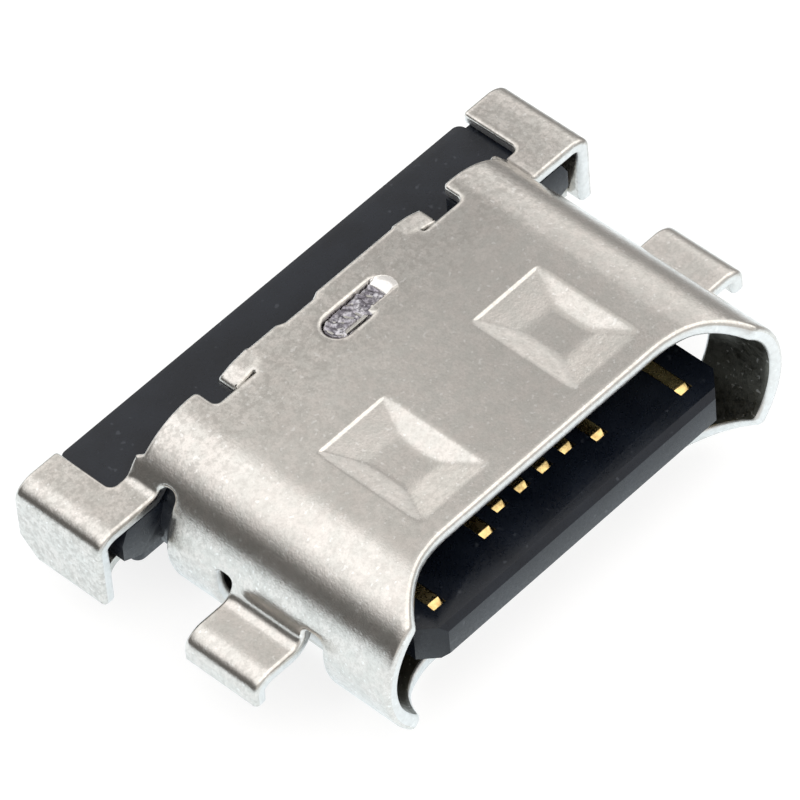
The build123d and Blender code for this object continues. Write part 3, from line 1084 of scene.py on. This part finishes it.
def beadDepth(x, y, edge, endX, halfWidth, sizes, seed):
    # depth below the skin at a place counted from the middle of the slot
    def wave(key, more):
        return noise.noise(Vector((x * sizes[key], y * sizes[key], seed + more)))

    sway = wave("swayPerMm", 3.7) * sizes["sway"]
    ripple = sin(2 * pi * (x + sizes["rippleSlant"] * y + sway) / sizes["ripplePitch"])
    lump = wave("lumpPerMm", 0.0) + sizes["fineShare"] * wave("finePerMm", 9.1)
    depth = sizes["depth"] + sizes["lump"] * lump + sizes["ripple"] * ripple
    depth += sizes["wallDrop"] * max(0.0, 1 - edge / sizes["wallReach"]) ** 2
    along = ease(*sizes["gapRise"], x) * (1 - ease(*sizes["gapFall"], x))
    depth += sizes["gapDrop"] * along * max(0.0, 1 - (halfWidth + y) / sizes["gapReach"]) ** sizes["gapCurve"]
    run = max(0.0, (x - sizes["rampStart"]) / (endX - sizes["rampStart"]))
    sloped = sizes["top"] + (sizes["rampDeep"] - sizes["top"]) * max(0.0, 1 - run) ** sizes["rampCurve"]
    share = ease(0.0, sizes["rampEase"], run)
    depth = depth * (1 - share) + sloped * share
    level = beadLevel(x, y, sizes)
    depth = depth * (1 - level) + sizes["top"] * level
    return min(max(depth, sizes["top"]), sizes["bottom"] - sizes["least"])


def beadSpill(x, y, edge, straight, sizes):
    # sideways shift of the bead's rim, over the slot's rounded edge
    share = ease(*sizes["levelFrom"], x) * max(0.0, 1 - edge / sizes["spill"])
    if y > 0:
        share *= ease(*sizes["spillRise"], x - straight)
    outward = Vector((max(0.0, x - straight), y)).normalized()
    return outward * share * sizes["spill"]


def weldBead(name, centreX, length, under, sizes, seed):
    # a closed slab: lumpy face, walls along the slot and a flat back
    halfWidth = shell["weldWidth"] / 2 - sizes["gap"]
    straight = (length - shell["weldWidth"]) / 2
    across, along = sizes["across"], sizes["along"]
    side = -1 if under else 1
    face, back, zones = [], [], []
    for j in range(along + 1):
        y = (2 * j / along - 1) * halfWidth
        endX = straight + sqrt(max(0.0, halfWidth ** 2 - y * y))
        for i in range(across + 1):
            x = (2 * i / across - 1) * endX
            edge = halfWidth - (abs(y) if abs(x) < straight else hypot(abs(x) - straight, y))
            depth = beadDepth(x, y, edge, endX, halfWidth, sizes, seed)
            shift = beadSpill(x, y, edge, straight, sizes)
            place = (centreX + x + shift.x) * mm, (weldY + y + shift.y) * mm
            face.append((*place, (middle + side * (tubeRadius - depth)) * mm))
            back.append((*place, (middle + side * (tubeRadius - sizes["bottom"])) * mm))
            onRamp = x > sizes["rampStart"] + sizes["rampBright"]
            zones.append(2 if beadLevel(x, y, sizes) > 0.5 else int(onRamp))
    row = across + 1
    count = row * (along + 1)
    top = [(a, a + 1, a + 1 + row, a + row) for j in range(along) for a in range(j * row, j * row + across)]
    faces = top + [tuple(count + k for k in reversed(quad)) for quad in top]
    border = list(range(across)) + [j * row + across for j in range(along)]
    border += [along * row + i for i in range(across, 0, -1)] + [j * row for j in range(along, 0, -1)]
    for k, a in enumerate(border):
        b = border[(k + 1) % len(border)]
        faces.append((a, count + a, count + b, b))
    if under:
        faces = [tuple(reversed(quad)) for quad in faces]
    mesh = bpy.data.meshes.new(name)
    mesh.from_pydata(face + back, [], faces)
    for material in (weldMetal, weldRampHighlight, nickel):
        mesh.materials.append(material)
    for index, quad in enumerate(mesh.polygons):
        quad.use_smooth = index < len(top)
        quad.material_index = zones[quad.vertices[0]] if index < len(top) else 0
    linkPiece(name, mesh)


bottomBead = dict(
    beadSizes, levelFrom=(1.0, 2.0), rampStart=0.33, gapRise=(-0.42, -0.30), gapFall=(0.0, 0.2),
    across=110, along=40,
)
slot = shell["topWeld"]
weldBead("topWeld", slot["x"], slot["long"], under=False, sizes=beadSizes, seed=2.3)
slot = shell["bottomWelds"]
weldBead("leftBottomWeld", -slot["x"], slot["long"], under=True, sizes=bottomBead, seed=4.0)
weldBead("rightBottomWeld", slot["x"], slot["long"], under=True, sizes=bottomBead, seed=6.0)
print("welds laid")


# Light comes from a round tent close to the part: pale cloth, dimmer where the top's
# reflection looks, a bright side to the left and to the front, and a dark rim low down
tentLook = {
    "radius": 25.0,
    "cloth": (1.05, 1.03, 1.01),
    "dim": (0.79, 0.775, 0.755),
    "dimPlace": (0.36, 0.50, 0.79),
    "dimEdge": (0.88, 0.955),
    "rightCloth": (0.89, 0.875, 0.86),
    "rightRise": (0.50, 0.60),
    "rightFall": (0.75, 0.84),
    "patch": (0.49, 0.48, 0.47),
    "patchRise": (0.35, 0.50),
    "patchFall": (0.53, 0.62),
    "patchBack": (-0.05, 0.35),
    "back": (1.10, 1.08, 1.05),
    "backEdges": (0.58, 0.67),
    "left": (1.40, 1.39, 1.38),
    "leftEdges": (-0.16, 0.20),
    "front": (1.65, 1.62, 1.58),
    "frontEdges": (-0.10, 0.12),
    "dark": (0.15, 0.146, 0.14),
    "frontGlow": (-0.55, -0.25, 0.40, 0.0),
    "darkTurn": (0.75, 0.66),
    "darkSide": (0.05, 0.38),
    "lowRise": (0.0, 0.34, 0.26, 1.0),
    "highRise": (0.37, 0.74),
    "skirt": (0.84, 0.90, 0.93),
    "skirtTop": (0.02, 0.10, 1.0, 0.0),
}


def bareTree(owner):
    # the emptied node tree of a material or world
    owner.use_nodes = True
    owner.node_tree.nodes.clear()
    return Shader(owner.node_tree)


def tentLight(look):
    material = bpy.data.materials.new("tentCloth")
    shader = bareTree(material)
    centre = (0, 0, middle * mm)
    place = shader.node("ShaderNodeVectorMath", {"operation": "SUBTRACT"}, {0: shader.place(), 1: centre})
    place = shader.node("ShaderNodeVectorMath", {"operation": "NORMALIZE"}, {0: place})
    x, y, z = shader.split(place)
    toward = tuple(Vector(look["dimPlace"]).normalized())
    facing = shader.node("ShaderNodeVectorMath", {"operation": "DOT_PRODUCT"}, {0: place, 1: toward}, 1)
    color = shader.mix(facing.span(*look["dimEdge"]), look["cloth"], look["dim"])
    rightSide = x.span(*look["rightRise"]) * (1.0 - x.span(*look["rightFall"]))
    patch = x.span(*look["patchRise"]) * (1.0 - x.span(*look["patchFall"])) * y.span(*look["patchBack"])
    for share, cloth in (
        (rightSide, "rightCloth"),
        (patch, "patch"),
        (y.span(*look["backEdges"]), "back"),
        (x.span(*look["leftEdges"], 1.0, 0.0), "left"),
        (y.span(*look["frontEdges"], 1.0, 0.0), "front"),
    ):
        color = shader.mix(share, color, look[cloth])
    darkX, darkY = look["darkTurn"]
    lightSide = (x * darkX + y * darkY).span(*look["darkSide"])
    lit = z.span(*look["lowRise"]) * lightSide + z.span(*look["highRise"]) * (1.0 - lightSide)
    lit = lit.math("MAXIMUM", y.span(*look["frontGlow"]))
    color = shader.mix(lit, look["dark"], color)
    color = shader.mix(z.span(*look["skirtTop"]) * (1.0 - lightSide), color, look["skirt"])
    shader.finish("ShaderNodeOutputMaterial", shader.node("ShaderNodeEmission", None, {"Color": color}))
    material.cycles.emission_sampling = "NONE"
    return material


def addTent(look):
    work = bmesh.new()
    bmesh.ops.create_uvsphere(work, u_segments=96, v_segments=48, radius=look["radius"] * mm)
    bmesh.ops.translate(work, vec=(0, 0, middle * mm), verts=work.verts)
    bmesh.ops.reverse_faces(work, faces=work.faces)
    mesh = bpy.data.meshes.new("lightTent")
    work.to_mesh(mesh)
    work.free()
    mesh.materials.append(tentLight(look))
    tent = addObject("lightTent", mesh)
    tent.visible_camera = False


def whiteRoom(strength):
    # the camera sees plain white behind the part
    world = bpy.data.worlds.new("whiteRoom")
    shader = bareTree(world)
    seen = shader.node("ShaderNodeLightPath", output="Is Camera Ray")
    color = shader.mix(seen, (strength, strength, strength), (1.0, 1.0, 1.0))
    shader.finish("ShaderNodeOutputWorld", shader.node("ShaderNodeBackground", None, {"Color": color}))
    bpy.context.scene.world = world


# The table glows a little, so that it stays white, and mirrors darker far to the right
tableLook = {
    "half": 400.0,
    "glow": (0.80, 0.80, 0.80),
    "diffuse": (0.30, 0.30, 0.30),
    "mirrored": (0.84, 0.93, 0.98),
    "farMirrored": (0.08, 0.075, 0.07),
    "farSpan": (0.006, 0.012),
}


def addFloor(look):
    half = look["half"] * mm
    corners = [(-half, -half, 0), (half, -half, 0), (half, half, 0), (-half, half, 0)]
    mesh = bpy.data.meshes.new("tableTop")
    mesh.from_pydata(corners, [], [(0, 1, 2, 3)])
    material = bpy.data.materials.new("whiteTable")
    shader = bareTree(material)
    glossy = shader.node("ShaderNodeLightPath", output="Is Glossy Ray")
    farRight = shader.split(shader.place())[0].span(*look["farSpan"])
    glow = shader.mix(glossy, look["glow"], shader.mix(farRight, look["mirrored"], look["farMirrored"]))
    glow = shader.node("ShaderNodeEmission", None, {"Color": glow})
    diffuse = shader.node("ShaderNodeBsdfDiffuse", None, {"Color": look["diffuse"]})
    both = shader.node("ShaderNodeAddShader", None, {0: glow, 1: diffuse})
    shader.finish("ShaderNodeOutputMaterial", both)
    mesh.materials.append(material)
    addObject("tableTop", mesh)


whiteRoom(strength=0.85)
addTent(tentLook)
addFloor(tableLook)
bpy.context.scene.view_settings.view_transform = "Standard"
print("room lit")
